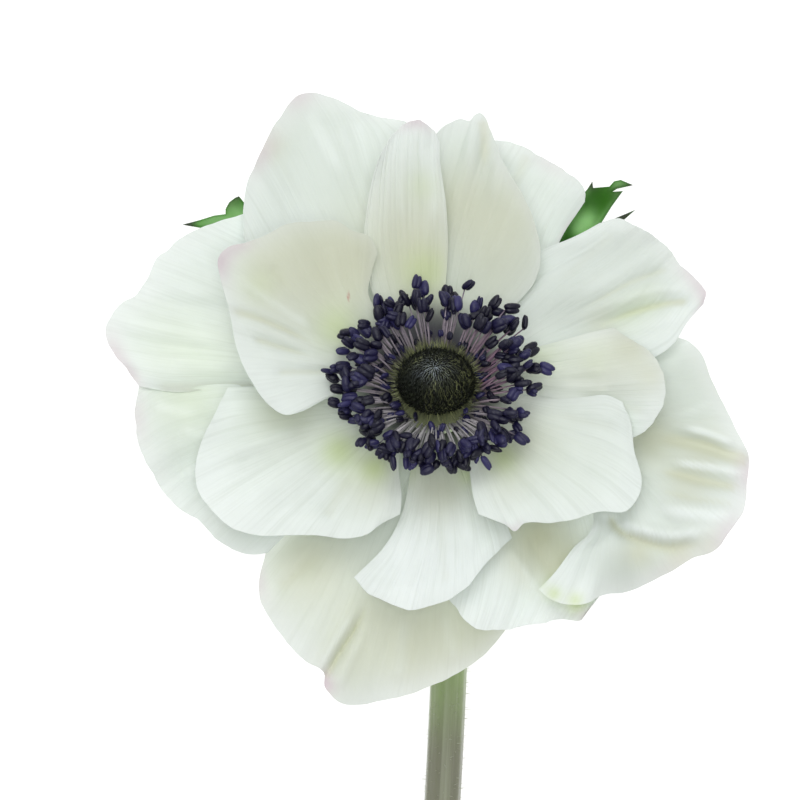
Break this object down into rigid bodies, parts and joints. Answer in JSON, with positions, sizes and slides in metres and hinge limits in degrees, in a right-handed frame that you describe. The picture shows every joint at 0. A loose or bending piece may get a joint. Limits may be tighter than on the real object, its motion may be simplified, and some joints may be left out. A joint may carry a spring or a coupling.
{
  "type": "anemone flower",
  "caption": "Cut white anemone bloom lying on its back, with overlapping tepals, a dark stamen ring round a dark dome, cut green bracts and a bent stem.",
  "frame": {"origin": "on the surface that the flower lies on, below the middle of its bounding box", "axes": "+Z up from the surface, +Y from the stem's cut end towards the bloom, +X to the right for a viewer looking down on the bloom with +Y up"},
  "size_m": [0.0854, 0.1729, 0.0303],
  "materials": {
    "tepal": "matt, faintly satin, translucent petal with fine radiating veins",
    "leaf": "satin green leaf with darker edges and tips",
    "stem": "downy grey-green stem",
    "stamen": "matt blue-black anthers on mauve-grey filaments",
    "pistil": "green-black dome covered in short hairs"
  },
  "bodies": {
    "root": {"stem": "stem", "bract_left": "leaf", "bract_right": "leaf", "bract_lower": "leaf", "tepal_bottom_outer": "tepal", "tepal_left_lower": "tepal", "tepal_bottom_right": "tepal", "tepal_left_outer": "tepal", "tepal_right_outer": "tepal", "tepal_top_right": "tepal", "tepal_bottom_inner": "tepal", "tepal_top_left": "tepal", "tepal_right_upper": "tepal", "tepal_left_inner_lower": "tepal", "tepal_top_inner": "tepal", "tepal_right_inner": "tepal", "tepal_top_centre": "tepal", "tepal_right_lower": "tepal", "tepal_left_inner": "tepal", "stamens": "stamen", "pistil_dome": "pistil"}
  },
  "joints": []
}
